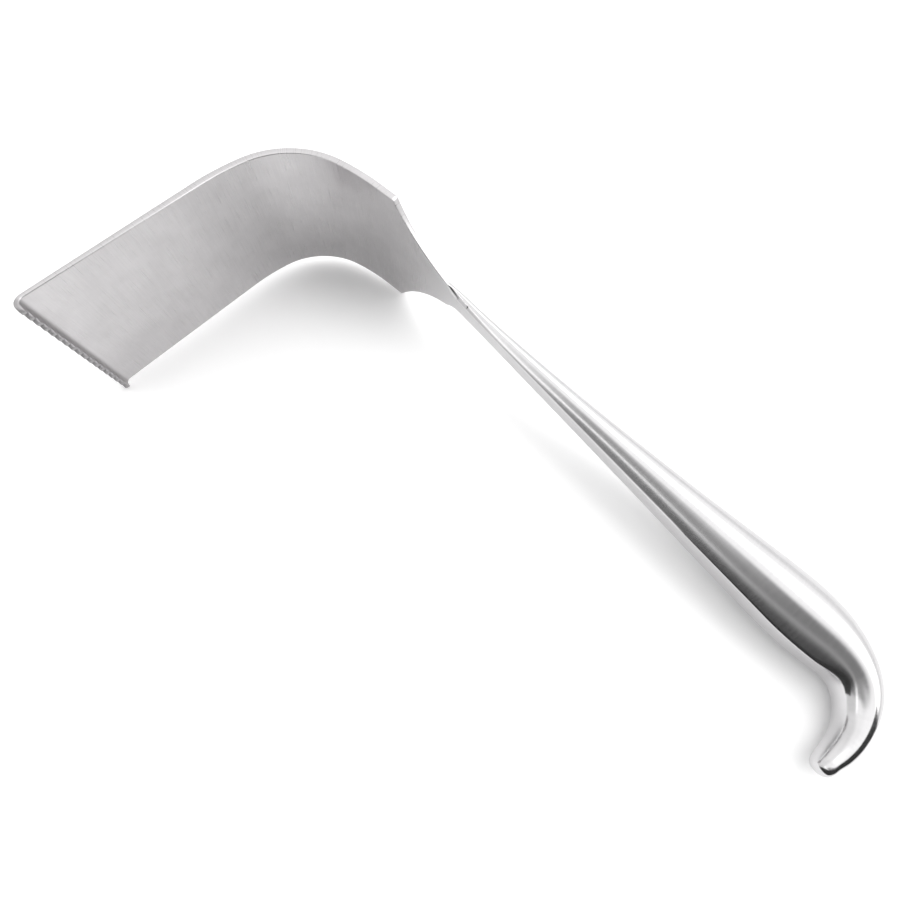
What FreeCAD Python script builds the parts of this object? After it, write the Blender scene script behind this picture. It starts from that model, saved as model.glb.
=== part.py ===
"""Handheld surgical retractor, forged and ground from one piece of stainless steel.

A strip blade with a toothed lip bends up into a waisted neck, and the neck runs into a solid
grip that swells and curls into a hook. The part is drawn with its middle plane level: the
finger side of the grip runs along X, the blade hangs toward -Y and the widths run along Z.
At the end it is tipped until it lies on the three points that it comes to rest on.
"""
import FreeCAD, Part
import math
import os
from collections import namedtuple

V = FreeCAD.Vector
UP = V(0, 0, 1)

# Sizes in millimetres, turns in degrees

# The plate that makes the blade, the elbow and the neck, thinned toward both ends
blade_width = 50.0
plate_thickness = 2.3
blade_end_thickness = 1.35
neck_middle_thickness = 1.35
neck_end_thickness = 1.2
blade_flat = 52.8

# The elbow: a tight bend eased at both ends, and a short flat on the neck side
elbow_radius = 24.5
elbow_turn = 66.2
ease_radius = 76.0
ease_turn = 11.2
elbow_flat = 6.3

# The lip at the end of the blade, turned toward the grip and cut into rounded teeth
lip_bend_radius = 1.75
lip_turn = 85.0
lip_flat = 1.65
lip_corner_radius = 1.8
tooth_count = 18
tooth_gap_depth = 1.6
tooth_crown_radius = 1.1

# The neck: its finger side curves gently, and its edges sweep in to the shank
neck_curve_radius = 200.0
neck_curve_turn = 9.1
neck_sweep_radius = 44.0
neck_end = 38.5
neck_end_width = 7.2
shoulder_round = 1.0
facet_middle = 2.6
facet_round = 10.4

# The finger side of the grip: straight, then falling away, then curling into the hook
grip_straight = 127.5
grip_fall_radius = 105.0
grip_fall_turn = 12.8
hook_corner_radius = 4.5
hook_corner_turn = 47.8
hook_curl_radius = 12.2
hook_curl_turn = 59.0
hook_flat = 4.7

# Stations of the handle: full sizes of the finger face, the width and the depth
Station = namedtuple("Station", "face width depth")
core_at, core = 5.0, Station(face=6.0, width=8.0, depth=1.9)
neck_at, neck = 24.0, Station(face=6.0, width=8.6, depth=3.8)
throat_at, throat = 33.0, Station(face=5.6, width=8.2, depth=4.0)
waist_at, waist = 43.0, Station(face=5.3, width=7.7, depth=4.7)
shank_at, shank = 70.0, Station(face=5.4, width=9.2, depth=7.2)
grip_at, grip = 100.0, Station(face=5.1, width=11.8, depth=10.8)
palm_at, palm = 132.0, Station(face=6.7, width=15.2, depth=15.3)
swell_at, swell = 162.0, Station(face=8.0, width=18.0, depth=20.5)
hook_root = Station(face=9.3, width=17.0, depth=19.6)
hook_bend = Station(face=6.0, width=15.0, depth=15.0)
hook_curl = Station(face=4.2, width=12.0, depth=9.5)
hook_end = Station(face=4.7, width=10.0, depth=7.2)
hook_tip = Station(face=4.8, width=8.8, depth=5.2)
tip_round = 4.3

# The loaf section as shares of a station's sizes: the ridge beside the finger face, the widest
# place and the round of the palm side. The surface starts a little above the finger face.
ridge_out, ridge_drop = 0.55, 0.17
side_drop = 0.55
palm_out = 0.62
trim = 1.0


def ahead_of(heading):
    return V(math.cos(math.radians(heading)), math.sin(math.radians(heading)), 0)


def left_of(heading):
    return V(-math.sin(math.radians(heading)), math.cos(math.radians(heading)), 0)


class Trail:
    """A smooth line of straights and arcs in the middle plane. Turns to the left are positive."""

    def __init__(self, start, heading, legs=()):
        self.start, self.heading, self.legs = start, heading, list(legs)

    def straight(self, length):
        self.legs.append((length, 0.0))

    def bend(self, radius, turn):
        self.legs.append((radius * math.radians(abs(turn)), turn))

    def length(self, legs=None):
        """How far it is to the end of the first legs, or of them all."""
        return sum(length for length, turn in self.legs[:legs])

    def advance(self, point, heading, length, turn):
        if not turn:
            return point + ahead_of(heading) * length, heading
        radius = length / math.radians(turn)
        return point + (left_of(heading) - left_of(heading + turn)) * radius, heading + turn

    def at(self, distance):
        """The point and the heading at a distance, run on straight past the end."""
        point, heading = self.start, self.heading
        for length, turn in self.legs:
            if distance <= length:
                return self.advance(point, heading, distance, turn * distance / length)
            point, heading = self.advance(point, heading, length, turn)
            distance -= length
        return self.advance(point, heading, distance, 0.0)

    def beside(self, offset):
        """The same trail moved sideways, to the left when the offset is positive."""
        legs = [(length - math.radians(turn) * offset, turn) for length, turn in self.legs]
        return Trail(self.start + left_of(self.heading) * offset, self.heading, legs)

    def edges(self):
        point, heading, edges = self.start, self.heading, []
        for length, turn in self.legs:
            middle = self.advance(point, heading, length / 2, turn / 2)[0]
            end, heading = self.advance(point, heading, length, turn)
            edges.append(Part.Arc(point, middle, end).toShape() if turn else Part.makeLine(point, end))
            point = end
        return edges

    def end(self):
        return self.at(self.length())[0]


def elbow_trail():
    """Inner side of the plate, from the neck round the elbow to the flat of the blade."""
    trail = Trail(V(0, 0, 0), 180.0 + neck_curve_turn)
    trail.straight(elbow_flat)
    trail.bend(ease_radius, ease_turn)
    trail.bend(elbow_radius, elbow_turn)
    trail.bend(ease_radius, ease_turn)
    return trail


def lip_trail():
    """Inner side of the plate round the lip, from the end of the blade's flat."""
    elbow = elbow_trail()
    point, heading = elbow.at(elbow.length() + blade_flat)
    trail = Trail(point, heading)
    trail.bend(lip_bend_radius, lip_turn)
    trail.straight(lip_flat)
    return trail


def grip_trail():
    """Finger side of the handle, from the neck to the end of the hook."""
    trail = Trail(V(0, 0, 0), neck_curve_turn)
    trail.bend(neck_curve_radius, -neck_curve_turn)
    trail.straight(grip_straight)
    trail.bend(grip_fall_radius, grip_fall_turn)
    trail.bend(hook_corner_radius, -hook_corner_turn)
    trail.bend(hook_curl_radius, -hook_curl_turn)
    trail.straight(hook_flat)
    return trail


def closed_face(edges):
    return Part.Face(Part.Wire(Part.__sortEdges__(edges)))


def neck_back():
    """The hidden side of the neck, which thins from the shoulders to the shank."""
    trail = grip_trail()
    reach = trail.legs[0][0]
    spots = []
    for share, thickness in ((0, plate_thickness), (0.5, neck_middle_thickness), (1, neck_end_thickness)):
        point, heading = trail.at(reach * share)
        spots.append(point + left_of(heading) * thickness)
    return Part.Arc(*spots).toShape()


def bent_plate():
    """The strip as wide as the blade from end to end: neck, elbow, tapered blade and lip."""
    elbow, lip, grip_side = elbow_trail(), lip_trail(), grip_trail()
    elbow_back, lip_back = elbow.beside(-plate_thickness), lip.beside(-blade_end_thickness)
    back = neck_back()
    neck_side = Trail(grip_side.start, grip_side.heading, grip_side.legs[:1])
    edges = neck_side.edges() + elbow.edges() + lip.edges()
    edges += elbow_back.edges() + lip_back.edges() + [back]
    edges.append(Part.makeLine(elbow.end(), lip.start))
    edges.append(Part.makeLine(elbow_back.end(), lip_back.start))
    edges.append(Part.makeLine(lip.end(), lip_back.end()))
    edges.append(Part.makeLine(neck_side.end(), back.Vertexes[-1].Point))
    face = closed_face(edges)
    face.translate(UP * (-blade_width / 2))
    return face.extrude(UP * blade_width)


def shoulder_x():
    """Where the round of the shoulder meets the straight side of the blade."""
    rise = neck_end_width / 2 + neck_sweep_radius - blade_width / 2 + shoulder_round
    return neck_end - math.sqrt((neck_sweep_radius + shoulder_round) ** 2 - rise ** 2)


def arc_about(middle, first, last):
    """The arc shorter than half a turn from first to last about a middle."""
    crown = (first - middle) + (last - middle)
    crown = middle + crown.normalize() * (first - middle).Length
    return Part.Arc(first, crown, last).toShape()


def neck_waste():
    """What the sweep of the neck and the round of the shoulder take off one edge of the plate."""
    past, out = neck_end + neck_end_width, blade_width
    sweep_middle = V(neck_end, 0, neck_end_width / 2 + neck_sweep_radius)
    round_middle = V(shoulder_x(), 0, blade_width / 2 - shoulder_round)
    first = V(shoulder_x(), 0, blade_width / 2)
    change = round_middle + (sweep_middle - round_middle).normalize() * shoulder_round
    last = V(neck_end, 0, neck_end_width / 2)
    corners = [last, V(past, 0, last.z), V(past, 0, out), V(first.x, 0, out), first]
    edges = [Part.makeLine(a, b) for a, b in zip(corners, corners[1:])]
    edges.append(arc_about(round_middle, first, change))
    edges.append(arc_about(sweep_middle, change, last))
    face = closed_face(edges)
    face.translate(V(0, -blade_width, 0))
    return face.extrude(V(0, 2 * blade_width, 0))


def lip_place(across, forward):
    """A place in the lip's inner side, measured from the middle of its free edge."""
    trail = lip_trail()
    end, heading = trail.at(trail.length())
    return end + ahead_of(heading) * forward + UP * across


def tooth_line():
    """The free edge of the lip: round crowns, with straight sides that meet in the gaps."""
    half_pitch = blade_width / tooth_count / 2
    run = math.hypot(half_pitch, tooth_gap_depth - tooth_crown_radius)
    angle = math.atan2(tooth_crown_radius - tooth_gap_depth, -half_pitch)
    angle -= math.acos(tooth_crown_radius / run)
    touch_across = tooth_crown_radius * math.cos(angle)
    touch_forward = tooth_crown_radius * math.sin(angle) - tooth_crown_radius
    edges = []
    for tooth in range(tooth_count):
        middle = (2 * tooth + 1) * half_pitch - blade_width / 2
        rise = lip_place(middle + touch_across, touch_forward)
        fall = lip_place(middle - touch_across, touch_forward)
        edges.append(Part.makeLine(lip_place(middle - half_pitch, -tooth_gap_depth), rise))
        edges.append(Part.Arc(rise, lip_place(middle, 0), fall).toShape())
        edges.append(Part.makeLine(fall, lip_place(middle + half_pitch, -tooth_gap_depth)))
    return edges


def corner_outside(side, reach):
    """What lies outside the round corner at one side of the lip."""
    half, radius = blade_width / 2, lip_corner_radius
    diagonal = radius * math.sqrt(0.5)
    first = lip_place((half - radius) * side, 0)
    crown = lip_place((half - radius + diagonal) * side, diagonal - radius)
    last = lip_place(half * side, -radius)
    outside = [last, lip_place((half + reach) * side, -radius)]
    outside += [lip_place((half + reach) * side, reach), lip_place((half - radius) * side, reach), first]
    edges = [Part.makeLine(a, b) for a, b in zip(outside, outside[1:])]
    return closed_face(edges + [Part.Arc(first, crown, last).toShape()])


def lip_waste():
    """What the gaps between the teeth and the round corners take off the lip."""
    half = blade_width / 2
    reach = lip_bend_radius + lip_flat + blade_end_thickness
    corners = [lip_place(half, -tooth_gap_depth), lip_place(half, reach)]
    corners += [lip_place(-half, reach), lip_place(-half, -tooth_gap_depth)]
    outside = [Part.makeLine(a, b) for a, b in zip(corners, corners[1:])]
    tools = [closed_face(tooth_line() + outside), corner_outside(-1, reach), corner_outside(1, reach)]
    trail = lip_trail()
    inward = left_of(trail.at(trail.length())[1])
    for tool in tools:
        tool.translate(inward * reach)
    return [tool.extrude(inward * (-2 * reach)) for tool in tools]


def facet_waste():
    """The slanted facet that starts on one edge of the neck and runs out into the grip."""
    trail = grip_trail()
    point, heading = trail.at(trail.legs[0][0])
    middle = point + UP * (facet_middle + facet_round)
    deep = facet_round / 2
    return Part.makeCone(facet_round, facet_round - deep, deep, middle, left_of(heading))


def plate():
    """Blade, elbow and neck, cut to outline, toothed and faceted at the grip."""
    body = bent_plate()
    waste = neck_waste()
    body = body.cut([waste, waste.mirror(V(0, 0, 0), UP)])
    waste = facet_waste()
    body = body.cut([waste, waste.mirror(V(0, 0, 0), UP)])
    return body.cut(lip_waste())


def loaf(size):
    """Half of a loaf section, as poles (across, down): narrow at the finger side, round at the palm."""
    half_face, half_width = size.face / 2, size.width / 2
    ridge = half_face + ridge_out * (half_width - half_face)
    ridge_down = ridge_drop * size.depth
    side_down = side_drop * size.depth
    palm = palm_out * half_width
    # A cubic over even knots is pulled this far inside its poles at the side and at the palm
    side = (half_width - ridge / 4 - palm / 6) * 12 / 7
    bottom = (size.depth - 0.04 * side_down) / 0.96
    lean = (ridge - half_face) / ridge_down
    return [(half_face - trim * lean, -trim), (ridge, ridge_down), (side, side_down), (palm, bottom)]


def station_poles(trail, distance, size, lift=0.0, shrink=1.0):
    """The poles of a section across the trail, from one finger edge round the palm to the other."""
    point, heading = trail.at(distance)
    point = point + ahead_of(heading) * lift
    half = loaf(size)
    middle = size.depth / 2
    poles = []
    for across, down in half + [(-across, down) for across, down in reversed(half)]:
        down = middle + (down - middle) * shrink
        poles.append(point + left_of(heading) * down + UP * (across * shrink))
    return poles


def knots(poles, degree):
    """Even knots for a clamped curve with this many poles."""
    inner = poles - degree - 1
    return [degree + 1] + [1] * inner + [degree + 1], list(range(inner + 2))


def net_faces(rows, degree_across):
    """A smooth surface held by rows of poles, cubic along the handle, as shank, grip and hook."""
    along_mults, along_knots = knots(len(rows), 3)
    across_mults, across_knots = knots(len(rows[0]), degree_across)
    surface = Part.BSplineSurface()
    surface.buildFromPolesMultsKnots(
        rows, along_mults, across_mults, along_knots, across_knots, False, False, 3, degree_across
    )
    third = along_knots[-1] // 3
    faces = []
    for first, last in ((0, third), (third, 2 * third), (2 * third, along_knots[-1])):
        piece = surface.copy()
        piece.segment(first, last, 0, across_knots[-1])
        faces.append(piece.toShape())
    return faces


def end_face(row):
    mults, places = knots(len(row), 3)
    curve = Part.BSplineCurve()
    curve.buildFromPolesMultsKnots(row, mults, places, False, 3)
    return closed_face([curve.toShape(), Part.makeLine(row[-1], row[0])])


def handle():
    """Shank, grip and hook: a sculpted surface over the stations, ground flat at the finger side."""
    trail = grip_trail()
    corner_at, bend_at, end_at, tip_at = (trail.length(legs) for legs in (3, 4, 5, 6))
    stations = [
        (core_at, core), (neck_at, neck), (throat_at, throat), (waist_at, waist),
        (shank_at, shank), (grip_at, grip), (palm_at, palm), (swell_at, swell),
        (corner_at, hook_root), (bend_at, hook_bend), ((bend_at + end_at) / 2, hook_curl),
        (end_at, hook_end), (tip_at, hook_tip),
    ]
    rows = [station_poles(trail, place, size) for place, size in stations]
    for rise, shrink in ((0.6, 0.95), (1.0, 0.55), (1.0, 0.08)):
        rows.append(station_poles(trail, tip_at, hook_tip, tip_round * rise, shrink))
    faces = net_faces(rows, 3) + net_faces([[row[0], row[-1]] for row in rows], 1)
    shell = Part.makeShell(faces + [end_face(rows[0]), end_face(rows[-1])])
    shell.sewShape()
    return Part.makeSolid(shell).cut(finger_space(trail))


def finger_space(trail):
    """The space on the finger side of the trail, as wide as the blade."""
    depth = 3 * blade_width
    end, heading = trail.at(trail.length())
    far = end + ahead_of(heading) * depth
    corners = [end, far, V(0, far.y, 0), V(0, 0, 0)]
    lines = [Part.makeLine(a, b) for a, b in zip(corners, corners[1:])]
    face = closed_face(trail.edges() + lines)
    face.translate(UP * (-blade_width / 2))
    return face.extrude(UP * blade_width)


def laid_down(body):
    """Tip the body onto the blade's edge and the side of the grip, and centre it on the floor."""
    trail = grip_trail()
    low = UP * (-blade_width / 2)
    heel = trail.at(shoulder_x())[0] + low
    toe = lip_trail().start + low
    point, heading = trail.at(swell_at)
    cheek = point + left_of(heading) * (0.5 * swell.depth) - UP * (swell.width / 2)
    normal = (toe - heel).cross(cheek - heel)
    if normal.z < 0:
        normal = normal * -1.0
    tip = FreeCAD.Placement(V(0, 0, 0), FreeCAD.Rotation(normal, UP))
    body = body.copy()
    body.Placement = tip.multiply(body.Placement)
    box = body.optimalBoundingBox(False)
    body.translate(V(-box.Center.x, -box.Center.y, -box.ZMin))
    return body


os.makedirs("parts", exist_ok=True)
retractor = plate().fuse(handle()).removeSplitter().Solids[0]
laid_down(retractor).exportStep("parts/retractor.step")
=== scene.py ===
"""Handheld surgical retractor in stainless steel, lying on a white table.

The blade is a satin-ground plate with a toothed lip, and the grip is a polished solid that
curls into a hook. Both are rebuilt here from the same sizes as the solid, fine enough for
reflections to run smoothly, joined into one skin and laid down on the same three points.
"""
import math

import bmesh
import bpy
import numpy as np
from mathutils import Matrix, Vector


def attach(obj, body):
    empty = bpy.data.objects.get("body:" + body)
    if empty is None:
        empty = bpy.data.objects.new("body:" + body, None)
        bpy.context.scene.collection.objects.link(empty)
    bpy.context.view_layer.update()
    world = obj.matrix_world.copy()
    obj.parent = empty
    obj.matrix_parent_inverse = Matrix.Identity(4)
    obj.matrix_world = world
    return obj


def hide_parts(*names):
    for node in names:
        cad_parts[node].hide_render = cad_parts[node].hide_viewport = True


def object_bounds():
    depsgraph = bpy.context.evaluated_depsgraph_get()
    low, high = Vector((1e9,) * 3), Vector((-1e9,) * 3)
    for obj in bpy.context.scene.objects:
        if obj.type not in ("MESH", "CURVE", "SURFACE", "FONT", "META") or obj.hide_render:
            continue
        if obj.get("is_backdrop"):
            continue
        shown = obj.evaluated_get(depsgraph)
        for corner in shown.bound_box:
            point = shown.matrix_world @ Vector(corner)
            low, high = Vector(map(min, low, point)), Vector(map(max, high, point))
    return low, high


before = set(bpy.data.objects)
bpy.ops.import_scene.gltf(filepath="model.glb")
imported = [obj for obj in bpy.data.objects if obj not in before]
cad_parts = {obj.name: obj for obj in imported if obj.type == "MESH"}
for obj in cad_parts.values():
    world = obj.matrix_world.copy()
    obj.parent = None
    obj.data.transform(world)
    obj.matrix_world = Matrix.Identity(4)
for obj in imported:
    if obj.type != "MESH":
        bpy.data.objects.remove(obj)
cad_low, cad_high = (list(corner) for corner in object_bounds())

MM = 0.001

# Sizes of the retractor in millimetres, turns in degrees

blade_width = 50.0
plate_thickness = 2.3
blade_end_thickness = 1.35
neck_middle_thickness = 1.35
neck_end_thickness = 1.2
blade_flat = 52.8
edge_round = 0.3

elbow_radius = 24.5
elbow_turn = 66.2
ease_radius = 76.0
ease_turn = 11.2
elbow_flat = 6.3

lip_bend_radius = 1.75
lip_turn = 85.0
lip_flat = 1.65
lip_corner_radius = 1.8
tooth_count = 18
tooth_gap_depth = 1.6
tooth_crown_radius = 1.1
tooth_blur = 0.16

neck_curve_radius = 200.0
neck_curve_turn = 9.1
neck_sweep_radius = 44.0
neck_end = 38.5
neck_end_width = 7.2
shoulder_round = 1.0
facet_middle = 2.6
facet_round = 10.4

grip_straight = 127.5
grip_fall_radius = 105.0
grip_fall_turn = 12.8
hook_corner_radius = 4.5
hook_corner_turn = 47.8
hook_curl_radius = 12.2
hook_curl_turn = 59.0
hook_flat = 4.7
tip_round = 4.3

# Where the blade's shoulders meet the sweep of the neck
half_blade = blade_width / 2
sweep_middle = neck_end_width / 2 + neck_sweep_radius
shoulder_rise = sweep_middle - half_blade + shoulder_round
shoulder_reach = neck_sweep_radius + shoulder_round
shoulder_x = neck_end - math.sqrt(shoulder_reach ** 2 - shoulder_rise ** 2)

# Distances along the handle from the root of the neck
neck_length = neck_curve_radius * math.radians(neck_curve_turn)
corner_at = neck_length + grip_straight + grip_fall_radius * math.radians(grip_fall_turn)
bend_at = corner_at + hook_corner_radius * math.radians(hook_corner_turn)
curl_end_at = bend_at + hook_curl_radius * math.radians(hook_curl_turn)
tip_at = curl_end_at + hook_flat

# Stations of the handle: distance, width of the finger face, width, depth
stations = [
    (5.0, 6.0, 8.0, 1.9),
    (24.0, 6.0, 8.6, 3.8),
    (33.0, 5.6, 8.2, 4.0),
    (43.0, 5.3, 7.7, 4.7),
    (70.0, 5.4, 9.2, 7.2),
    (100.0, 5.1, 11.8, 10.8),
    (132.0, 6.7, 15.2, 15.3),
    (162.0, 8.0, 18.0, 20.5),
    (corner_at, 9.3, 17.0, 19.6),
    (bend_at, 6.0, 15.0, 15.0),
    ((bend_at + curl_end_at) / 2, 4.2, 12.0, 9.5),
    (curl_end_at, 4.7, 10.0, 7.2),
    (tip_at, 4.8, 8.8, 5.2),
]
# Rows that close the tip: share of its rounding, share of the last section
tip_rows = [(0.6, 0.95), (1.0, 0.55), (1.0, 0.08)]


# Lines in the middle plane

class Trail:
    """A smooth line of straights and arcs, given as (length, turn in degrees, left positive)."""

    def __init__(self, start, heading, legs):
        self.starts, self.points, self.headings, self.legs = [], [], [], list(legs)
        point, angle, run = np.array(start, float), math.radians(heading), 0.0
        for length, turn in self.legs:
            self.starts.append(run)
            self.points.append(point)
            self.headings.append(angle)
            point, angle = self.step(point, angle, length, math.radians(turn) / length)
            run += length
        self.length = run
        self.starts.append(run)
        self.points.append(point)
        self.headings.append(angle)
        self.legs.append((1.0, 0.0))

    @staticmethod
    def step(point, angle, distance, curve):
        """The point and heading after a distance on a straight or a curve."""
        end = angle + curve * distance
        if abs(curve) < 1e-12:
            ahead = np.stack([np.cos(angle) * distance, np.sin(angle) * distance], -1)
            return point + ahead, end
        side = np.stack([np.sin(end) - np.sin(angle), np.cos(angle) - np.cos(end)], -1)
        return point + side / curve, end

    def at(self, distance):
        """Points and headings at the distances, run on straight past the ends."""
        distance = np.asarray(distance, float)
        points = np.zeros(distance.shape + (2,))
        angles = np.zeros(distance.shape)
        leg = np.clip(np.searchsorted(self.starts, distance, side="right") - 1, 0, None)
        for index, (length, turn) in enumerate(self.legs):
            here = leg == index
            curve = math.radians(turn) / length
            past = distance[here] - self.starts[index]
            start = self.points[index] + np.zeros(past.shape + (2,))
            angle = self.headings[index] + np.zeros(past.shape)
            points[here], angles[here] = self.step(start, angle, past, curve)
        return points, angles


def left_of(angle):
    """The direction to the left of a heading."""
    return np.stack([-np.sin(angle), np.cos(angle)], -1)


def arc(radius, turn):
    """A leg of a line: the length of an arc and its turn."""
    return radius * math.radians(abs(turn)), turn


grip_line = Trail((0, 0), neck_curve_turn, [
    arc(neck_curve_radius, -neck_curve_turn),
    (grip_straight, 0.0),
    arc(grip_fall_radius, grip_fall_turn),
    arc(hook_corner_radius, -hook_corner_turn),
    arc(hook_curl_radius, -hook_curl_turn),
    (hook_flat, 0.0),
])

# The strip of the plate starts a little inside the grip and runs back over the neck
overrun = 2.0
strip_start = grip_line.at([neck_length])[0][0] + np.array([overrun, 0.0])
strip_line = Trail(strip_start, 180.0, [
    (overrun, 0.0),
    arc(neck_curve_radius, neck_curve_turn),
    (elbow_flat, 0.0),
    arc(ease_radius, ease_turn),
    arc(elbow_radius, elbow_turn),
    arc(ease_radius, ease_turn),
    (blade_flat, 0.0),
    arc(lip_bend_radius, lip_turn),
    (lip_flat, 0.0),
])
root_at = overrun + neck_length
flat_from, flat_to = strip_line.starts[6:8]
strip_end = strip_line.length


# The plate

# Rows of points along the strip: up to a place, and in how many steps
plate_steps = [
    (root_at - 2.0, 43), (root_at + 0.5, 13), (flat_from, 59), (flat_to, 23),
    (strip_end - 3.0, 4),
]
lip_steps = 10
lip_columns, lip_corner_columns = 177, 9
rim_turns = np.radians([0, 30, 60, 90])
# No step of the rim is narrower than this, and a facet keeps this much clear of its corners
least_step, facet_gap = 0.02, 0.05
# The crease at the top of a facet, and half the width of the ridge at its foot
crease_width, crease_depth, ridge_half = 0.06, 0.015, 0.03
no_facet = 99.0
sink_from, sink_slope = overrun + 1.0, 0.012


def half_width(x):
    """Half the width of the plate at a place along the grip."""
    x = np.asarray(x, float)
    share = shoulder_round / (neck_sweep_radius + shoulder_round)
    change_x = shoulder_x + (neck_end - shoulder_x) * share
    reach = np.clip(neck_end - x, 0, neck_sweep_radius)
    sweep = sweep_middle - np.sqrt(neck_sweep_radius ** 2 - reach ** 2)
    past = np.clip(x - shoulder_x, 0, shoulder_round)
    corner = half_blade - shoulder_round + np.sqrt(shoulder_round ** 2 - past ** 2)
    return np.where(x > change_x, sweep, np.where(x > shoulder_x, corner, half_blade))


def thickness(s):
    """Thickness of the plate along the strip."""
    s = np.asarray(s, float)
    n = np.clip(1 - (s - overrun) / neck_length, 0, 1)
    dip = 4 * n * (1 - n) * (neck_middle_thickness - (plate_thickness + neck_end_thickness) / 2)
    neck = plate_thickness + (neck_end_thickness - plate_thickness) * n + dip
    taper = np.clip((s - flat_from) / blade_flat, 0, 1)
    blade = plate_thickness + (blade_end_thickness - plate_thickness) * taper
    return np.where(s < root_at, neck, blade)


def lip_outline():
    """The edge of the lip from one side of the blade to the other: across and along."""
    pitch = blade_width / tooth_count
    run = math.hypot(pitch / 2, tooth_gap_depth - tooth_crown_radius)
    lean = math.atan2(tooth_crown_radius - tooth_gap_depth, -pitch / 2)
    lean -= math.acos(tooth_crown_radius / run)
    touch_x = tooth_crown_radius * abs(math.cos(lean))
    touch_y = tooth_crown_radius * (1 - math.sin(lean))

    def depth_at(across):
        """How far the edge lies behind the crowns."""
        x = (across + half_blade) % pitch - pitch / 2
        if abs(x) < touch_x:
            return tooth_crown_radius - math.sqrt(tooth_crown_radius ** 2 - x * x)
        share = (abs(x) - touch_x) / (pitch / 2 - touch_x)
        return touch_y + (tooth_gap_depth - touch_y) * share

    inside = half_blade - lip_corner_radius
    quarter = np.linspace(0, math.pi / 2, lip_corner_columns)
    across = np.concatenate([
        -half_blade + lip_corner_radius * (1 - np.cos(quarter[:-1])),
        np.linspace(-inside, inside, lip_columns),
        half_blade - lip_corner_radius * (1 - np.cos(quarter[::-1][1:])),
    ])
    ahead = []
    for place in across:
        nearby = np.linspace(-tooth_blur, tooth_blur, 7)
        soft = np.mean([depth_at(place + aside) for aside in nearby])
        over = max(abs(place) - inside, 0)
        corner = lip_corner_radius - math.sqrt(max(lip_corner_radius ** 2 - over ** 2, 0))
        ahead.append(strip_end - max(soft, corner))
    return across, np.array(ahead)


def outward(across, ahead):
    """Directions square to the edge of the lip, in the sheet."""
    step = np.stack([np.gradient(across), np.gradient(ahead)], -1)
    step /= np.linalg.norm(step, axis=1)[:, None]
    return np.stack([-step[:, 1], step[:, 0]], -1)


def strip_points(s, across, depth):
    """Points of the strip in the drawn frame: along, across and down from the inner side."""
    spot, angle = strip_line.at(s)
    spot = spot - left_of(angle) * np.asarray(depth)[..., None]
    return np.concatenate([spot, np.asarray(across)[..., None]], -1)


def sink(s):
    """The end of the strip dives under the grip's own face."""
    return np.clip(sink_from - np.asarray(s, float), 0, None) * sink_slope


def facet_inside(s):
    """Half the width that the two facets on the edges of the neck leave between them."""
    gap = np.abs(s - overrun)
    reach = np.sqrt(np.clip(facet_round ** 2 - gap ** 2, 0, None))
    return np.where(gap < facet_round, facet_middle + facet_round - reach, no_facet)


def facet_profile(s, start, width, thick):
    """The rim where a facet is cut, out from the last column and down to the outer edge."""
    half = width + edge_round
    gap = abs(s - overrun)
    kink = facet_round - math.hypot(gap, facet_middle + facet_round - half)
    kink = min(max(kink, least_step), thick - edge_round - facet_gap)
    reach = math.sqrt(max((facet_round - kink) ** 2 - gap ** 2, 0))
    wide = min(facet_middle + facet_round - reach, half) - width
    mark = float(sink(s))
    return [
        (start, mark), (start + crease_width, mark + crease_depth),
        (wide - ridge_half, kink - ridge_half), (wide, kink + ridge_half),
    ]


def rim_profile(s, start, width, thick, cut):
    """The rim at one place of the border, as steps outward and down, round at both edges."""
    if cut:
        profile = facet_profile(s, start, width, thick)
    else:
        profile = [
            (edge_round * math.sin(turn), edge_round * (1 - math.cos(turn)))
            for turn in rim_turns
        ]
    last = max(profile[-1][0], least_step)
    return profile + [
        (last - edge_round * (1 - math.cos(turn)), thick - edge_round * (1 - math.sin(turn)))
        for turn in rim_turns[:-1]
    ]


def plate_rows(inset_across, inset_ahead):
    """Places of the plate's points along and across, and how many rows are straight."""
    places, start = [], 0.0
    for end, steps in plate_steps:
        places.append(np.linspace(start, end, steps + 1)[:-1])
        start = end
    straight = np.concatenate(places + [[start]])
    share = inset_across / (half_blade - edge_round)
    s_rows, w_rows = [], []
    for s in straight:
        x = strip_points(np.array([s]), np.array([0.0]), np.array([0.0]))[0, 0]
        s_rows.append(np.full(len(share), s))
        w_rows.append(share * (half_width(x) - edge_round))
    for step in np.linspace(0, 1, lip_steps + 1)[1:]:
        s_rows.append(start + (inset_ahead - start) * step)
        w_rows.append(inset_across)
    return np.array(s_rows), np.array(w_rows), len(straight)


def sheet_faces(rows, columns, first, flip):
    """The faces of a sheet of points in rows, turned over where asked."""
    faces = []
    for row in range(rows - 1):
        for column in range(columns - 1):
            a = first + row * columns + column
            face = (a, a + 1, a + columns + 1, a + columns)
            faces.append(face[::-1] if flip else face)
    return faces


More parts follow.
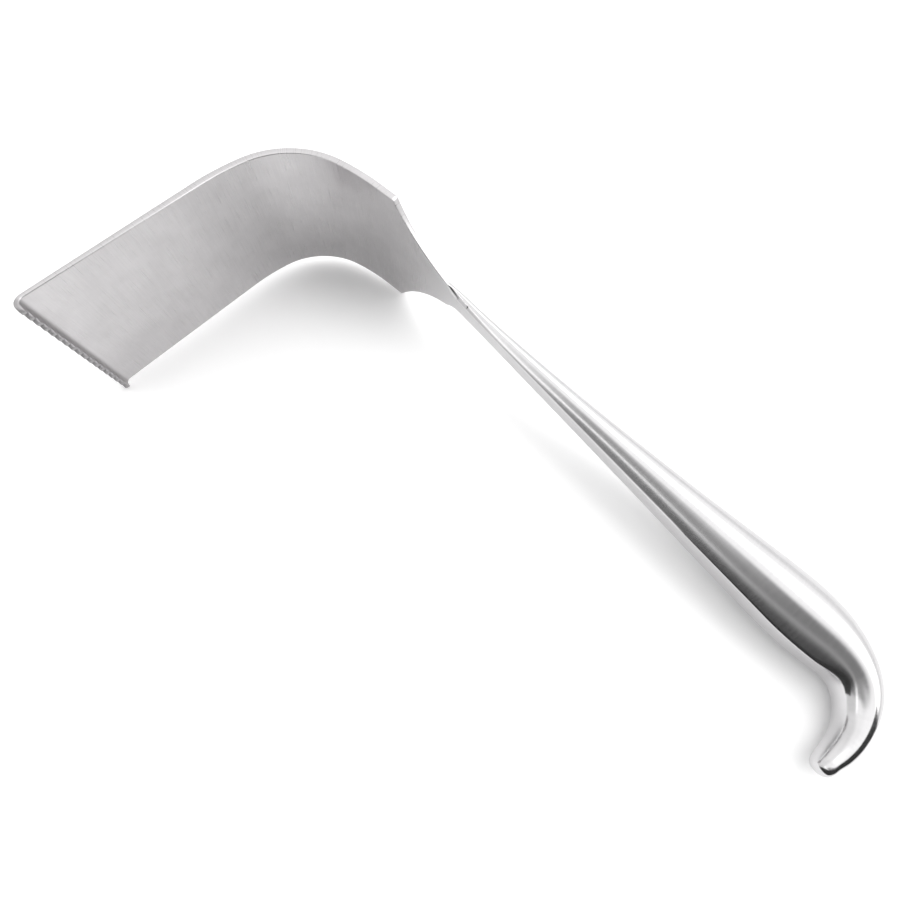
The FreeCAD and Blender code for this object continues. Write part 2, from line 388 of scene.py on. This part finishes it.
def plate_mesh():
    """The shell of the plate: its inner side, its outer side and the rim between them."""
    across, ahead = lip_outline()
    square = outward(across, ahead)
    inset_across = across - square[:, 0] * edge_round
    inset_ahead = ahead - square[:, 1] * edge_round
    s_grid, w_grid, straight = plate_rows(inset_across, inset_ahead)
    rows, columns = s_grid.shape
    depth_grid = thickness(s_grid)

    inside = facet_inside(s_grid)
    inner_w = np.array(w_grid)
    share = inset_across / (half_blade - edge_round)
    for row in range(straight):
        limit, widest = inside[row, 0], w_grid[row].max()
        if limit < widest + edge_round and s_grid[row, 0] < root_at:
            inner_w[row] = share * min(limit - facet_gap, widest)

    inner = strip_points(s_grid, inner_w, sink(s_grid)).reshape(-1, 3)
    outer = strip_points(s_grid, w_grid, depth_grid).reshape(-1, 3)
    faces = sheet_faces(rows, columns, 0, True)
    faces += sheet_faces(rows, columns, rows * columns, False)

    # The border runs down one side, round the lip and up the other side
    border = [(row, 0, -1.0, 0.0) for row in range(rows - 1)]
    border += [(rows - 1, column, *square[column]) for column in range(columns)]
    border += [(row, columns - 1, 1.0, 0.0) for row in range(rows - 2, -1, -1)]
    first = 2 * rows * columns
    rim, rings = [], []
    for row, column, out_w, out_s in border:
        s, w = s_grid[row, column], w_grid[row, column]
        start = abs(inner_w[row, column]) - abs(w)
        cut = row < straight and inside[row, column] < abs(w) + edge_round and s < root_at
        profile = rim_profile(s, start, abs(w), float(depth_grid[row, column]), cut)
        ring = [row * columns + column]
        for out, down in profile[1:]:
            ring.append(first + len(rim))
            rim.append(strip_points(
                np.array([s + out * out_s]), np.array([w + out * out_w]), np.array([down])
            )[0])
        ring.append(rows * columns + row * columns + column)
        rings.append(ring)
    for before, after in zip(rings, rings[1:]):
        for step in range(len(before) - 1):
            faces.append((before[step], before[step + 1], after[step + 1], after[step]))
    end = list(range(columns))[::-1] + rings[0][1:-1]
    end += [rows * columns + column for column in range(columns)] + rings[-1][1:-1][::-1]
    faces.append(tuple(end))
    return np.concatenate([inner, outer, np.array(rim)]), faces


# The handle: a surface held by rows of poles, cubic both ways

# How far the polishing has softened the edges of the handle, at distances along it
softened = [
    (0.0, 0.1), (40.0, 0.16), (corner_at - 5.0, 0.3), (corner_at, 1.6), (bend_at, 2.4),
    (tip_at, 2.6),
]
# How far each place of the hook is blended with its neighbours along it
blended = [
    (corner_at - 14.0, 0.02), (corner_at - 4.0, 1.8), (tip_at - 4.0, 1.8), (tip_at, 0.3),
    (tip_at + tip_round, 0.02),
]
# Points across the finger face, as shares of its width
face_shares = [0.015, 0.05, 0.12, 0.25, 0.4, 0.5, 0.6, 0.75, 0.88, 0.95, 0.985]
rows_along, rows_around = 331, 97
even_places, harmonics = 1024, 320
# The sides start above the finger face by this trim, and the poles of the loaf section lie
# at these shares of its half width and depth
trim = 1.0
ridge_out, ridge_down, side_down, shoulder_out = 0.55, 0.17, 0.55, 0.62
# The curve's weights of the side and shoulder poles halfway round the section
side_weight, shoulder_weight = 0.04, 0.96
# How much closer together the points lie at the two ends of a section's curve
end_crowding = 0.35
# The end of the grip's face lies a little below the strip of the neck
face_low_until, face_low_slope = 30.5, 0.006


def loaf(face, width, depth):
    """Poles of half a section, as (across, down), so that it has its full width and depth.

    A quarter of the way round, the curve weighs the ridge, side and shoulder poles by 1/4,
    7/12 and 1/6.
    """
    half_face, half = face / 2, width / 2
    ridge = half_face + ridge_out * (half - half_face)
    shoulder = shoulder_out * half
    side = (half - ridge / 4 - shoulder / 6) * 12 / 7
    bottom = (depth - side_weight * side_down * depth) / shoulder_weight
    lean = (ridge - half_face) / (ridge_down * depth)
    return [
        (half_face - trim * lean, -trim), (ridge, ridge_down * depth),
        (side, side_down * depth), (shoulder, bottom),
    ]


def pole_row(distance, face, width, depth, lift=0.0, shrink=1.0):
    """The poles of one section of the handle, moved on by the lift and drawn in."""
    spot, angle = grip_line.at([distance])
    spot, angle = spot[0], angle[0]
    spot = spot + np.array([math.cos(angle), math.sin(angle)]) * lift
    half = loaf(face, width, depth)
    row = []
    for across, down in half + [(-across, down) for across, down in reversed(half)]:
        down = depth / 2 + (down - depth / 2) * shrink
        flat = spot + left_of(angle) * down
        row.append((flat[0], flat[1], across * shrink))
    return row


def handle_poles():
    """The rows of poles up to the closed tip, and the place of each along the handle."""
    rows = [pole_row(*station) for station in stations]
    places = [station[0] for station in stations]
    for rise, shrink in tip_rows:
        rows.append(pole_row(*stations[-1], tip_round * rise, shrink))
        places.append(tip_at + tip_round * rise)
    return np.array(rows), np.array(places)


def basis(count, places):
    """Weights of the poles of a clamped cubic curve at places from 0 to 1."""
    knots = np.concatenate([[0] * 4, np.arange(1, count - 3), [count - 3] * 4]).astype(float)
    t = np.clip(np.asarray(places, float) * (count - 3), 0, count - 3 - 1e-9)
    table = [((knots[i] <= t) & (t < knots[i + 1])).astype(float) for i in range(len(knots) - 1)]
    for degree in range(1, 4):
        new = []
        for i in range(len(knots) - 1 - degree):
            rise, fall = knots[i + degree] - knots[i], knots[i + degree + 1] - knots[i + 1]
            value = (t - knots[i]) / rise * table[i] if rise else 0
            value = value + ((knots[i + degree + 1] - t) / fall * table[i + 1] if fall else 0)
            new.append(value)
        table = new
    return np.stack(table, -1)


def crease_starts(near, along_weights, poles):
    """Where the surface of each row comes up through the flat finger face."""
    fine = np.linspace(0, 0.3, 91)
    window = np.linspace(-6, 6, 241)
    edge = np.einsum("ui,ijk,vj->uvk", along_weights, poles, basis(poles.shape[1], fine))
    below = np.clip(face_low_until - near, 0, 6) * face_low_slope
    starts = np.zeros(len(near))
    for row in range(len(near)):
        line, angle = grip_line.at(near[row] + window)
        side = left_of(angle)
        gaps = edge[row][:, None, :2] - line[None]
        nearest = np.argmin((gaps ** 2).sum(-1), axis=1)
        down = np.einsum("vk,vk->v", gaps[np.arange(len(fine)), nearest], side[nearest])
        down = down - below[row]
        over = np.argmax(down > 0)
        if over > 0:
            share = -down[over - 1] / (down[over] - down[over - 1])
            starts[row] = fine[over - 1] + share * (fine[over] - fine[over - 1])
    return starts


def eased(ring, softness):
    """A closed ring with its edges rounded over and its size kept."""
    loop = np.concatenate([ring, ring[:1]])
    run = np.concatenate([[0], np.cumsum(np.linalg.norm(np.diff(loop, axis=0), axis=1))])
    even = np.arange(even_places) / even_places * run[-1]
    even_ring = np.stack([np.interp(even, run, loop[:, axis]) for axis in range(3)], -1)
    waves = np.fft.rfft(even_ring, axis=0)[:harmonics] / even_places
    order = np.arange(harmonics)
    finer = np.clip(order ** 2 - 1, 0, None)
    fall = np.exp(-finer * (2 * math.pi * softness / run[-1]) ** 2 / 2)
    waves = waves * fall[:, None] * np.where(order > 0, 2, 1)[:, None]
    turns = np.exp(2j * math.pi * np.outer(run[:-1] / run[-1], order))
    return (turns @ waves).real


def handle_rings():
    """Closed rings of points along the handle."""
    poles, places = handle_poles()
    along_weights = basis(len(poles), np.linspace(0, 1, rows_along))
    near = along_weights @ places
    starts = crease_starts(near, along_weights, poles)
    spread = (1 - np.cos(np.linspace(0, math.pi, rows_around))) / 2
    spread = end_crowding * spread + (1 - end_crowding) * np.linspace(0, 1, rows_around)
    softness = np.interp(near, *zip(*softened))
    shares = np.array(face_shares)[:, None]
    rings = []
    for row in range(rows_along):
        v = starts[row] + (1 - 2 * starts[row]) * spread
        side = np.einsum("i,ijk,vj->vk", along_weights[row], poles, basis(poles.shape[1], v))
        ring = np.concatenate([side, side[-1] + (side[0] - side[-1]) * shares])
        rings.append(eased(ring, softness[row]))
    reach = np.interp(near, *zip(*blended))[:, None]
    weights = np.exp(-((near[None] - near[:, None]) / reach) ** 2 / 2)
    weights /= weights.sum(1)[:, None]
    return np.tensordot(weights, np.array(rings), 1)


def handle_mesh():
    """The shell of the handle: its rings and a fan over each end."""
    rings = handle_rings()
    loop, last = rings.shape[1], (rows_along - 1) * rings.shape[1]
    faces = []
    for row in range(rows_along - 1):
        for column in range(loop):
            a, b = row * loop + column, row * loop + (column + 1) % loop
            faces.append((a, a + loop, b + loop, b))
    middles = [rings[0].mean(0), rings[-1].mean(0)]
    for column in range(loop):
        after = (column + 1) % loop
        faces.append((last + loop, column, after))
        faces.append((last + loop + 1, last + after, last + column))
    return np.concatenate([rings.reshape(-1, 3), middles]), faces


# Laying down and joining

def resting_turn():
    """The turn that lays the heel and toe of the blade and the cheek of the grip down."""
    heel = Vector((*grip_line.at([shoulder_x])[0][0], -half_blade))
    toe = strip_points(np.array([flat_to]), np.array([-half_blade]), np.array([0.0]))
    toe = Vector(toe[0])
    distance, _, width, depth = max(stations, key=lambda station: station[2])
    spot, angle = grip_line.at([distance])
    cheek = Vector((*(spot[0] + left_of(angle[0]) * 0.5 * depth), -width / 2))
    normal = (toe - heel).cross(cheek - heel)
    if normal.z < 0:
        normal.negate()
    return normal.rotation_difference(Vector((0, 0, 1))).to_matrix()


turn = resting_turn()
turn_array = np.array(turn)
plate_points, plate_faces = plate_mesh()
handle_points, handle_faces = handle_mesh()
laid = np.concatenate([plate_points, handle_points]) @ turn_array.T
cad_middle = (np.array(cad_low) + np.array(cad_high)) / 2 / MM
shift = cad_middle - (laid.min(0) + laid.max(0)) / 2
shift[2] = cad_low[2] / MM - laid[:, 2].min()


def made(name, points, faces):
    """A closed shell, laid down, with its faces turned outward."""
    mesh = bpy.data.meshes.new(name)
    mesh.from_pydata(((points @ turn_array.T + shift) * MM).tolist(), [], faces)
    mesh.validate()
    shell = bmesh.new()
    shell.from_mesh(mesh)
    bmesh.ops.recalc_face_normals(shell, faces=shell.faces)
    shell.to_mesh(mesh)
    shell.free()
    piece = bpy.data.objects.new(name, mesh)
    bpy.context.scene.collection.objects.link(piece)
    return piece


def joined(name, plate, grip):
    """One smooth piece made of two shells that run into each other."""
    union = plate.modifiers.new("union", "BOOLEAN")
    union.operation, union.solver, union.object = "UNION", "MANIFOLD", grip
    graph = bpy.context.evaluated_depsgraph_get()
    mesh = bpy.data.meshes.new_from_object(plate.evaluated_get(graph))
    mesh.materials.clear()
    mesh.polygons.foreach_set("use_smooth", [True] * len(mesh.polygons))
    for shell in (plate, grip):
        bpy.data.objects.remove(shell)
    piece = bpy.data.objects.new(name, mesh)
    bpy.context.scene.collection.objects.link(piece)
    return piece


def place_marks(mesh):
    """Marks each point with its place in the steel: along, across and down, in millimetres."""
    line_gap, batch = 0.25, 4000
    count = len(mesh.vertices)
    spots = np.empty(count * 3)
    mesh.vertices.foreach_get("co", spots)
    spots = (spots.reshape(-1, 3) / MM - shift) @ turn_array
    back = np.arange(strip_end, root_at, -line_gap)
    front = np.arange(0, tip_at + tip_round, line_gap)
    lines = [strip_line.at(back), grip_line.at(front)]
    places = np.concatenate([lines[0][0], lines[1][0]])
    sides = np.concatenate([-left_of(lines[0][1]), left_of(lines[1][1])])
    run = np.concatenate([root_at - back, front])
    near = np.empty(count, int)
    for first in range(0, count, batch):
        gaps = spots[first:first + batch, None, :2] - places[None]
        near[first:first + batch] = np.argmin((gaps ** 2).sum(-1), axis=1)
    gaps = spots[:, :2] - places[near]
    down = (gaps * sides[near]).sum(-1)
    ahead = gaps[:, 0] * sides[near][:, 1] - gaps[:, 1] * sides[near][:, 0]
    marks = mesh.attributes.new("place_mm", "FLOAT_VECTOR", "POINT")
    values = np.stack([run[near] + ahead, spots[:, 2], down], -1)
    marks.data.foreach_set("vector", values.ravel())


# Materials

# The steel's finish, in millimetres where it is a length, at places from the neck's root
polish_from, polish_to = 2.0, 34.0
teeth_from, teeth_to = root_at - flat_to - 1.6, root_at - flat_to - 0.4
hair_gap, hair_length, cloud_width = 0.25, 14.0, 9.0
# The darkest tone lies on the lip from the middle of its bend out over the teeth: it is painted
# shade, standing in for the shade that falls in the bend
satin_tones, bright_tones, painted_lip_shade_tone = ("#CCCACB", "#D6D4D5"), ("#D8D7D8", "#DFDEDF"), "#B4B2B3"
satin_roughness, bright_roughness, filed_roughness = (0.27, 0.33), (0.14, 0.19), 0.55
satin_relief, bright_relief = 0.0010, 0.0004
# The paper on the table, as it takes light, as the steel mirrors it and as the camera sees it
paper_tone, paper_in_steel, paper_seen = "#F2F2F2", 1.0, 1.15
matt_roughness = 0.9


def linear(code):
    """The linear values of an sRGB hex colour."""
    channels = [int(code[place:place + 2], 16) / 255 for place in (1, 3, 5)]
    values = [c / 12.92 if c < 0.04045 else ((c + 0.055) / 1.055) ** 2.4 for c in channels]
    return (*values, 1.0)


def add(tree, kind, settings, inputs):
    """Adds a node with its settings and its inputs, each a value or an output to link."""
    node = tree.nodes.new(kind)
    for name, value in settings.items():
        setattr(node, name, value)
    for name, value in inputs.items():
        if isinstance(value, bpy.types.NodeSocket):
            tree.links.new(value, node.inputs[name])
        else:
            node.inputs[name].default_value = value
    return node.outputs


def new_material(name, roughness=None, metallic=0.0):
    """A material with its shader, and the node tree that holds them."""
    material = bpy.data.materials.new(name)
    material.use_nodes = True
    shader = material.node_tree.nodes["Principled BSDF"]
    shader.inputs["Metallic"].default_value = metallic
    if roughness is not None:
        shader.inputs["Roughness"].default_value = roughness
    return material, material.node_tree, shader


def stainless_steel():
    """Forged stainless steel, satin-ground on the blade and mopped bright on the grip.

    The blade was ground across with a fine belt: the eye gets a soft grey sheen, with faint
    hairs across the plate and clouds about a fingertip wide. Over the neck it runs into the
    hand-polished grip, where sharp bands of light run along it. The teeth were finished with a
    file and left matt; the lip, from the middle of its bend out over the teeth, is painted a
    little darker as the shade of its bend. The hairs are drawn 0.25 mm apart, because the real
    ones, of about 0.05 mm, are too fine to show.
    """
    material, tree, shader = new_material("satin_and_polished_stainless_steel", metallic=1.0)
    place = add(tree, "ShaderNodeAttribute", {"attribute_name": "place_mm"}, {})["Vector"]
    run = add(tree, "ShaderNodeSeparateXYZ", {}, {"Vector": place})["X"]
    polish = add(tree, "ShaderNodeMapRange", {"interpolation_type": "SMOOTHSTEP"}, {
        "Value": run, "From Min": polish_from, "From Max": polish_to,
    })["Result"]
    # Over the lip and its teeth: a real matt finish in the roughness, and a darker tone that is
    # painted shade
    lip_finish_and_shade = add(tree, "ShaderNodeMapRange", {"interpolation_type": "SMOOTHSTEP"}, {
        "Value": run, "From Min": teeth_from, "From Max": teeth_to, "To Min": 1.0, "To Max": 0.0,
    })["Result"]
    patterns = []
    for along, across in ((hair_gap, hair_length), (cloud_width, cloud_width)):
        stretched = add(tree, "ShaderNodeVectorMath", {"operation": "MULTIPLY"}, {
            0: place, 1: (1 / along, 1 / across, 1 / across),
        })["Vector"]
        patterns.append(add(tree, "ShaderNodeTexNoise", {}, {
            "Vector": stretched, "Scale": 1.0, "Detail": 3.0, "Roughness": 0.6,
        })["Fac"])
    hairs, clouds = patterns
    both = add(tree, "ShaderNodeMath", {"operation": "ADD"}, {0: hairs, 1: clouds})["Value"]
    blend = add(tree, "ShaderNodeMapRange", {}, {
        "Value": both, "From Min": 0.75, "From Max": 1.25,
    })["Result"]
    # A Mix node in colour mode holds its two colours at 6 and 7 and gives its colour at 2
    satin, bright = (
        add(tree, "ShaderNodeMix", {"data_type": "RGBA"}, {
            0: blend, 6: linear(low), 7: linear(high),
        })[2]
        for low, high in (satin_tones, bright_tones)
    )
    satin_rough, bright_rough = (
        add(tree, "ShaderNodeMapRange", {}, {
            "Value": hairs, "From Min": 0.35, "From Max": 0.7, "To Min": low, "To Max": high,
        })["Result"]
        for low, high in (satin_roughness, bright_roughness)
    )
    tone, rough = satin, satin_rough
    for share, next_tone, next_rough in (
        (polish, bright, bright_rough), (lip_finish_and_shade, linear(painted_lip_shade_tone), filed_roughness),
    ):
        tone = add(tree, "ShaderNodeMix", {"data_type": "RGBA"}, {
            0: share, 6: tone, 7: next_tone,
        })[2]
        rough = add(tree, "ShaderNodeMapRange", {}, {
            "Value": share, "To Min": rough, "To Max": next_rough,
        })["Result"]
    depth = add(tree, "ShaderNodeMapRange", {}, {
        "Value": polish, "To Min": satin_relief * MM, "To Max": bright_relief * MM,
    })["Result"]
    relief = add(tree, "ShaderNodeBump", {}, {"Height": hairs, "Distance": depth})["Normal"]
    for socket, output in (("Base Color", tone), ("Roughness", rough), ("Normal", relief)):
        tree.links.new(output, shader.inputs[socket])
    return material


def white_paper():
    """Matt white cartridge paper over the table: white where nothing shades it."""
    material, tree, shader = new_material("white_paper", matt_roughness)
    shader.inputs["Specular IOR Level"].default_value = 0.0
    ray = add(tree, "ShaderNodeLightPath", {}, {})
    tone = linear(paper_tone)
    for kind, level in (("Is Glossy Ray", paper_in_steel), ("Is Camera Ray", paper_seen)):
        tone = add(tree, "ShaderNodeMix", {"data_type": "RGBA"}, {
            0: ray[kind], 6: tone, 7: (level, level, level, 1.0),
        })[2]
    tree.links.new(tone, shader.inputs["Base Color"])
    return material


def black_card():
    """Matt black card, which the steel mirrors as a dark grey."""
    material, _, shader = new_material("black_card", matt_roughness)
    shader.inputs["Base Color"].default_value = linear("#2A2A2A")
    return material


steel = joined(
    "retractor_steel",
    made("plate", plate_points, plate_faces),
    made("grip", handle_points, handle_faces),
)
place_marks(steel.data)
steel.data.materials.append(stainless_steel())
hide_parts("retractor")
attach(steel, "root")


# Table and board

def staged(name, points, faces, material):
    """A plain piece of the studio, which is no part of the retractor."""
    mesh = bpy.data.meshes.new(name)
    mesh.from_pydata(points, [], faces)
    mesh.materials.append(material)
    piece = bpy.data.objects.new(name, mesh)
    bpy.context.scene.collection.objects.link(piece)
    piece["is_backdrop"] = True
    return piece


table_half, table_drop = 3.0, 0.00002
table_level = cad_low[2] - table_drop
table = staged("table", [
    (x * table_half, y * table_half, 0) for x, y in ((-1, -1), (1, -1), (1, 1), (-1, 1))
], [(0, 1, 2, 3)], white_paper())
table.location.z = table_level

# A low black board beyond the edge of the picture gives the hook its dark rim. It stands only
# in reflections: it shades nothing and no camera sees it.
board_line = [(156, 56), (160, 16), (104, -42), (70, -64)]
board_height = 50
board = staged("dark_board", [
    (x * MM, y * MM, z) for x, y in board_line for z in (table_level, board_height * MM)
], [
    (2 * side, 2 * side + 2, 2 * side + 3, 2 * side + 1) for side in range(len(board_line) - 1)
], black_card())
board.visible_camera = board.visible_diffuse = board.visible_shadow = False


# Light

# Directions: x to the right of the table, y to its back, z up. Two edges of the tent lean.
near_lean, right_lean = -0.3, -1.2
# Each step: its name, what it follows, from and to, and its level at either end
light_steps = [
    ("tent_left", "x", -0.75, -0.45, 0.95, 1.2),
    ("tent_front", "x", -0.20, 0.10, "tent_left", 1.28),
    ("tent_back", "x", -0.55, -0.10, 1.1, 2.6),
    ("tent_rise", "y", 0.08, 0.30, "tent_front", "tent_back"),
    ("tent_high", "y", 0.50, 0.75, "tent_rise", 1.25),
    ("tent", "z", 0.20, 0.50, 0.95, "tent_high"),
    ("grey_left", "y", -0.55, -0.30, 0.40, 0.80),
    ("grey", "x", 0.22, 0.52, "grey_left", 0.24),
    ("room_high", "x", -0.25, 0.05, 1.2, "grey"),
    ("room_left", "x", -0.35, 0.0, 0.80, 0.28),
    ("room_low", "x", 0.0, 0.38, "room_left", 0.08),
    ("room_rise", "z", 0.61, 0.66, "room_low", "room_high"),
    ("room", "y", -1.0, -0.89, 1.0, "room_rise"),
    ("strip_level", "x", 0.0, 0.45, 2.0, 0.5),
    ("strip_lower", "z", 0.655, 0.672, "room", "strip_level"),
    ("near", "z", 0.695, 0.715, "strip_lower", "room"),
    ("right", "right_edge", -0.88, -0.68, "near", "tent"),
    ("light", "near_edge", -0.40, -0.24, "near", "right"),
]


def studio_light():
    """A white tent over the back of the table, open to a dim room on the near side.

    One thin strip light hangs in front of the dim side. The camera sees plain white.
    """
    world = bpy.data.worlds.new("studio")
    bpy.context.scene.world = world
    world.use_nodes = True
    tree = world.node_tree
    direction = add(tree, "ShaderNodeTexCoord", {}, {})["Generated"]
    axes = add(tree, "ShaderNodeSeparateXYZ", {}, {"Vector": direction})
    levels = {"x": axes["X"], "y": axes["Y"], "z": axes["Z"]}
    for name, lean in (("near_edge", near_lean), ("right_edge", right_lean)):
        levels[name] = add(tree, "ShaderNodeVectorMath", {"operation": "DOT_PRODUCT"}, {
            0: direction, 1: (lean, 1.0, 0.0),
        })["Value"]
    for name, of, low, high, bottom, top in light_steps:
        levels[name] = add(tree, "ShaderNodeMapRange", {"interpolation_type": "SMOOTHSTEP"}, {
            "Value": levels[of], "From Min": low, "From Max": high,
            "To Min": levels.get(bottom, bottom), "To Max": levels.get(top, top),
        })["Result"]
    ray = add(tree, "ShaderNodeLightPath", {}, {})["Is Camera Ray"]
    light = add(tree, "ShaderNodeMapRange", {}, {
        "Value": ray, "To Min": levels["light"], "To Max": 1.0,
    })["Result"]
    tree.links.new(light, tree.nodes["Background"].inputs["Color"])
    tree.nodes["Background"].inputs["Strength"].default_value = 1.0


studio_light()


# Camera: where it stood for the photograph, solved in the drawn frame, in millimetres

camera_right = (0.6672, 0.7364, 0.1123)
camera_forward = (-0.2085, 0.3294, -0.9209)
camera_spot = (96.359, -63.034, 147.115)

camera_data = bpy.data.cameras.new("camera")
camera = bpy.data.objects.new("camera", camera_data)
bpy.context.scene.collection.objects.link(camera)
bpy.context.scene.camera = camera
camera_data.sensor_width, camera_data.lens = 36.0, 20.32
camera_data.shift_x, camera_data.shift_y = -0.0503, -0.0560
camera_data.clip_start, camera_data.clip_end = 0.005, 20.0
right = (turn @ Vector(camera_right)).normalized()
forward = (turn @ Vector(camera_forward)).normalized()
up = right.cross(forward).normalized()
camera.matrix_world = Matrix((
    (right.x, up.x, -forward.x, 0),
    (right.y, up.y, -forward.y, 0),
    (right.z, up.z, -forward.z, 0),
    (0, 0, 0, 1),
))
camera.location = (turn @ Vector(camera_spot) + Vector(shift)) * MM

bpy.context.scene.view_settings.view_transform = "Standard"
